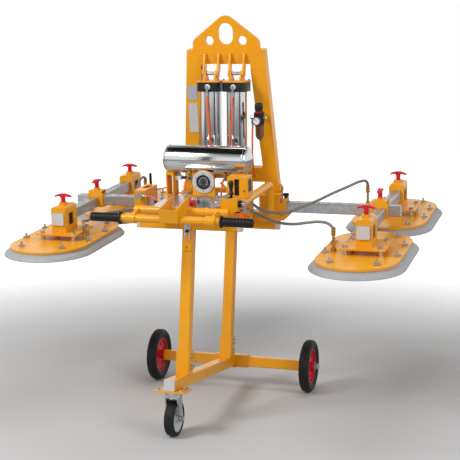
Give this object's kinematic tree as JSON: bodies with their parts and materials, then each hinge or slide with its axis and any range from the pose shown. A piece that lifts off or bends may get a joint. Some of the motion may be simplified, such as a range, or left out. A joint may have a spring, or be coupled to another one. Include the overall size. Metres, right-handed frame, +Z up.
{
  "type": "stone vacuum lifter",
  "caption": "Vacuum slab lifter with sliding arms, oblong suction cups, a tilting mast with air cylinders and a handle, parked on a wheeled trolley.",
  "frame": {"origin": "on the floor under the middle of the whole machine", "axes": "+X to the right seen from the handle end, +Y from the handle end to the rear, +Z up"},
  "size_m": [1.919, 1.771, 1.8534],
  "materials": {
    "yellow_paint": "gloss powder coat",
    "zinc": "zinc plated steel",
    "polished_steel": "polished stainless steel",
    "steel_hardware": "plated fasteners",
    "black_rubber": "matt moulded rubber",
    "tyre_rubber": "solid rubber tyre",
    "red_plastic": "moulded red plastic",
    "skirt_rubber": "grey sealing rubber",
    "black_casting": "black coated aluminium",
    "orange_hose": "polyurethane air hose",
    "braided_hose": "wire braid over rubber",
    "white_plastic": "moulded white plastic",
    "grey_plastic": "moulded grey end caps",
    "black_plastic": "moulded black plastic",
    "blue_plastic": "moulded blue plastic"
  },
  "bodies": {
    "trolley": {"trolley_base": "yellow_paint", "trolley_front_stand": "yellow_paint", "trolley_rear_stand": "yellow_paint", "trolley_caps": "grey_plastic", "socket_bolts": "steel_hardware", "latch_plate": "zinc", "caster_plate": "zinc"},
    "left_wheel": {"left_tyre": "tyre_rubber", "left_rim": "red_plastic"},
    "right_wheel": {"right_tyre": "tyre_rubber", "right_rim": "red_plastic"},
    "caster_swivel_body": {"caster_fork": "zinc"},
    "caster_roller": {"caster_wheel": "black_rubber"},
    "lifter": {"pad_frame": "yellow_paint", "deck_frame": "yellow_paint", "handle_bars": "yellow_paint", "handle_grips": "black_rubber", "deck_plate": "polished_steel", "air_tank": "polished_steel", "tank_fittings": "white_plastic", "gauge_case": "yellow_paint", "control_boxes": "yellow_paint", "vacuum_hoses": "braided_hose", "air_hoses": "orange_hose"},
    "gauge_pointer": {"gauge_needle": "black_plastic"},
    "lever": {"valve_lever": "black_plastic"},
    "release": {"release_knob": "red_plastic"},
    "button": {"blue_button": "blue_plastic"},
    "mast": {"portal_frame": "yellow_paint", "lifting_plate": "yellow_paint", "hinge_pins": "steel_hardware", "regulator_body": "black_plastic"},
    "regulator_dial": {"regulator_knob": "black_plastic"},
    "barrels": {"cylinder_tubes": "polished_steel", "cylinder_heads": "black_casting"},
    "rods": {"cylinder_rods": "polished_steel"},
    "right_arm_slider": {"right_arm": "zinc"},
    "right_cross": {"right_carriage": "zinc"},
    "right_sleeve_pin": {"right_sleeve_knob": "red_plastic"},
    "right_arm_pin": {"right_lock_knob": "black_plastic"},
    "left_arm_slider": {"left_arm": "zinc"},
    "left_cross": {"left_carriage": "zinc"},
    "left_sleeve_pin": {"left_sleeve_knob": "red_plastic"},
    "left_arm_pin": {"left_lock_knob": "black_plastic"},
    "front_right_cup": {"front_right_bracket": "yellow_paint", "front_right_pad": "yellow_paint", "front_right_skirt": "skirt_rubber"},
    "front_right_pin": {"front_right_pull": "red_plastic"},
    "rear_right_cup": {"rear_right_bracket": "yellow_paint", "rear_right_pad": "yellow_paint", "rear_right_skirt": "skirt_rubber"},
    "rear_right_pin": {"rear_right_pull": "red_plastic"},
    "front_left_cup": {"front_left_bracket": "yellow_paint", "front_left_pad": "yellow_paint", "front_left_skirt": "skirt_rubber"},
    "front_left_pin": {"front_left_pull": "red_plastic"},
    "rear_left_cup": {"rear_left_bracket": "yellow_paint", "rear_left_pad": "yellow_paint", "rear_left_skirt": "skirt_rubber"},
    "rear_left_pin": {"rear_left_pull": "red_plastic"}
  },
  "joints": [
    {"name": "left_wheel_spin", "type": "hinge", "parent": "trolley", "child": "left_wheel", "pos_m": [-0.401, 0.05482, 0.13], "axis": [1, 0, 0], "continuous": true},
    {"name": "right_wheel_spin", "type": "hinge", "parent": "trolley", "child": "right_wheel", "pos_m": [0.397, 0.05482, 0.13], "axis": [1, 0, 0], "continuous": true},
    {"name": "caster_swivel", "type": "hinge", "parent": "trolley", "child": "caster_swivel_body", "pos_m": [-0.002, -0.81263, 0.19545], "axis": [0, 0.121, 0.9927], "continuous": true},
    {"name": "caster_roll", "type": "hinge", "parent": "caster_swivel_body", "child": "caster_roller", "pos_m": [-0.002, -0.80555, 0.08], "axis": [1, 0, 0], "continuous": true},
    {"name": "lift_off", "type": "slide", "parent": "trolley", "child": "lifter", "axis": [0, 0, 1], "range_m": [0, 0.3]},
    {"name": "gauge_turn", "type": "hinge", "parent": "lifter", "child": "gauge_pointer", "pos_m": [0.001, -0.40208, 1.08536], "axis": [0, 0.9963, 0.0859], "range_deg": [0, 240], "stiffness_Nm_per_rad": 0.002},
    {"name": "valve_tilt", "type": "hinge", "parent": "lifter", "child": "lever", "pos_m": [0.221, -0.67416, 1.03379], "axis": [1, 0, 0], "range_deg": [-20, 20]},
    {"name": "release_pull", "type": "slide", "parent": "lifter", "child": "release", "axis": [0, -0.9963, -0.0859], "range_m": [0, 0.006], "stiffness_N_per_m": 400, "springref_m": -0.004},
    {"name": "button_push", "type": "slide", "parent": "lifter", "child": "button", "axis": [0, 0.0859, -0.9963], "range_m": [0, 0.004], "stiffness_N_per_m": 300, "springref_m": -0.003},
    {"name": "mast_tilt", "type": "hinge", "parent": "lifter", "child": "mast", "pos_m": [-0.002, 0.05714, 1.01227], "axis": [-1, 0, 0], "range_deg": [0, 90], "deforming": ["air_hoses"]},
    {"name": "regulator_turn", "type": "hinge", "parent": "mast", "child": "regulator_dial", "pos_m": [0.18, -0.10904, 1.40705], "axis": [0, -0.1478, 0.989], "range_deg": [-150, 150]},
    {"name": "cylinder_swing", "type": "hinge", "parent": "mast", "child": "barrels", "pos_m": [-0.002, -0.08793, 1.57703], "axis": [1, 0, 0], "range_deg": [0, 12.6]},
    {"name": "rod_travel", "type": "slide", "parent": "barrels", "child": "rods", "axis": [0, 0.0265, -0.9996], "range_m": [0, 0.1253]},
    {"name": "right_arm_slide", "type": "slide", "parent": "lifter", "child": "right_arm_slider", "axis": [1, 0, 0], "range_m": [-0.15, 0], "deforming": ["vacuum_hoses"]},
    {"name": "right_cross_slide", "type": "slide", "parent": "right_arm_slider", "child": "right_cross", "axis": [1, 0, 0], "range_m": [-0.04, 0.03], "deforming": ["vacuum_hoses"]},
    {"name": "right_sleeve_pull", "type": "slide", "parent": "right_cross", "child": "right_sleeve_pin", "axis": [0, -0.0859, 0.9963], "range_m": [0, 0.012], "stiffness_N_per_m": 600, "springref_m": -0.006},
    {"name": "right_arm_pin_pull", "type": "slide", "parent": "lifter", "child": "right_arm_pin", "axis": [0, -0.0859, 0.9963], "range_m": [0, 0.012], "stiffness_N_per_m": 600, "springref_m": -0.006},
    {"name": "left_arm_slide", "type": "slide", "parent": "lifter", "child": "left_arm_slider", "axis": [1, 0, 0], "range_m": [0, 0.1], "deforming": ["vacuum_hoses"]},
    {"name": "left_cross_slide", "type": "slide", "parent": "left_arm_slider", "child": "left_cross", "axis": [1, 0, 0], "range_m": [-0.03, 0.04], "deforming": ["vacuum_hoses"]},
    {"name": "left_sleeve_pull", "type": "slide", "parent": "left_cross", "child": "left_sleeve_pin", "axis": [0, -0.0859, 0.9963], "range_m": [0, 0.012], "stiffness_N_per_m": 600, "springref_m": -0.006},
    {"name": "left_arm_pin_pull", "type": "slide", "parent": "lifter", "child": "left_arm_pin", "axis": [0, 0.9963, 0.0859], "range_m": [0, 0.012], "stiffness_N_per_m": 600, "springref_m": -0.006},
    {"name": "front_right_cup_slide", "type": "slide", "parent": "right_cross", "child": "front_right_cup", "axis": [0, -0.9963, -0.0859], "range_m": [0, 0.045], "deforming": ["vacuum_hoses"]},
    {"name": "front_right_pin_pull", "type": "slide", "parent": "front_right_cup", "child": "front_right_pin", "axis": [0, -0.0859, 0.9963], "range_m": [0, 0.012], "stiffness_N_per_m": 600, "springref_m": -0.006},
    {"name": "rear_right_cup_slide", "type": "slide", "parent": "right_cross", "child": "rear_right_cup", "axis": [0, 0.9963, 0.0859], "range_m": [0, 0.045], "deforming": ["vacuum_hoses"]},
    {"name": "rear_right_pin_pull", "type": "slide", "parent": "rear_right_cup", "child": "rear_right_pin", "axis": [0, -0.0859, 0.9963], "range_m": [0, 0.012], "stiffness_N_per_m": 600, "springref_m": -0.006},
    {"name": "front_left_cup_slide", "type": "slide", "parent": "left_cross", "child": "front_left_cup", "axis": [0, -0.9963, -0.0859], "range_m": [0, 0.045], "deforming": ["vacuum_hoses"]},
    {"name": "front_left_pin_pull", "type": "slide", "parent": "front_left_cup", "child": "front_left_pin", "axis": [0, -0.0859, 0.9963], "range_m": [0, 0.012], "stiffness_N_per_m": 600, "springref_m": -0.006},
    {"name": "rear_left_cup_slide", "type": "slide", "parent": "left_cross", "child": "rear_left_cup", "axis": [0, 0.9963, 0.0859], "range_m": [0, 0.045], "deforming": ["vacuum_hoses"]},
    {"name": "rear_left_pin_pull", "type": "slide", "parent": "rear_left_cup", "child": "rear_left_pin", "axis": [0, -0.0859, 0.9963], "range_m": [0, 0.012], "stiffness_N_per_m": 600, "springref_m": -0.006}
  ],
  "couplings": [
    {"joint": "cylinder_swing", "follows": "mast_tilt", "ratio": 0.13778},
    {"joint": "rod_travel", "follows": "mast_tilt", "m_per_rad": 0.078464}
  ]
}
